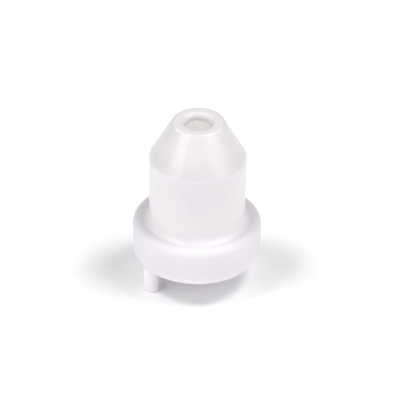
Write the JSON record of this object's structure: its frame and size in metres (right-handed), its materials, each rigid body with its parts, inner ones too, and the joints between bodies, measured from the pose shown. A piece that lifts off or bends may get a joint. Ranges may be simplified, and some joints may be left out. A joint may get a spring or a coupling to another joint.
{
  "type": "pneumatic muffler",
  "caption": "Milky plastic exhaust muffler: a cone-nosed barrel screwed into a wide round collar, with a push-in spigot and locating pegs under it and a silencing cartridge inside.",
  "frame": {"origin": "on the axis, level with the ends of the spigot and the locating pegs, which the free-standing part rests on", "axes": "+Z along the axis from the spigot to the nose, +X from the axis through the right locating peg"},
  "size_m": [0.024, 0.024, 0.0339],
  "materials": {
    "collar_nylon": "semi-gloss milky translucent natural nylon",
    "housing_nylon": "semi-gloss milky translucent natural nylon",
    "peg_nylon": "semi-gloss milky translucent natural nylon",
    "seal_rubber": "matt black nitrile",
    "screen_steel": "plain stainless wire cloth",
    "spring_steel": "rolled spring steel",
    "wool_felt": "pressed wool felt",
    "porous_sleeve": "sintered porous polyethylene",
    "diffuser_disc": "sintered porous polyethylene, warm white",
    "cartridge_plastic": "satin moulded plastic",
    "filter_foam": "open-cell cream foam"
  },
  "bodies": {
    "base": {"collar_base": "collar_nylon", "locating_peg_left": "peg_nylon", "locating_peg_right": "peg_nylon", "spigot_o_ring": "seal_rubber", "inlet_screen": "screen_steel", "core_tube": "cartridge_plastic", "lower_felt_washer": "wool_felt", "lower_end_cap": "cartridge_plastic", "silencing_sleeve": "porous_sleeve", "sleeve_wrap": "screen_steel", "upper_felt_washer": "wool_felt", "upper_end_cap": "cartridge_plastic", "core_plug": "cartridge_plastic"},
    "seal": {"housing_seal_ring": "seal_rubber"},
    "housing": {"nose_housing": "housing_nylon", "outlet_diffuser": "diffuser_disc", "outlet_screen": "screen_steel", "screen_retaining_ring": "cartridge_plastic", "outlet_foam_pad": "filter_foam", "outlet_baffle": "cartridge_plastic", "baffle_snap_ring": "spring_steel"}
  },
  "joints": [
    {"name": "housing_rise", "type": "slide", "parent": "base", "child": "seal", "axis": [0, 0, 1], "range_m": [0, 0.00265]},
    {"name": "housing_turn", "type": "hinge", "parent": "seal", "child": "housing", "pos_m": [0, 0, 0.0076], "axis": [0, 0, 1], "range_deg": [0, 630]}
  ],
  "couplings": [
    {"joint": "housing_rise", "follows": "housing_turn", "m_per_rad": 0.00023873}
  ]
}
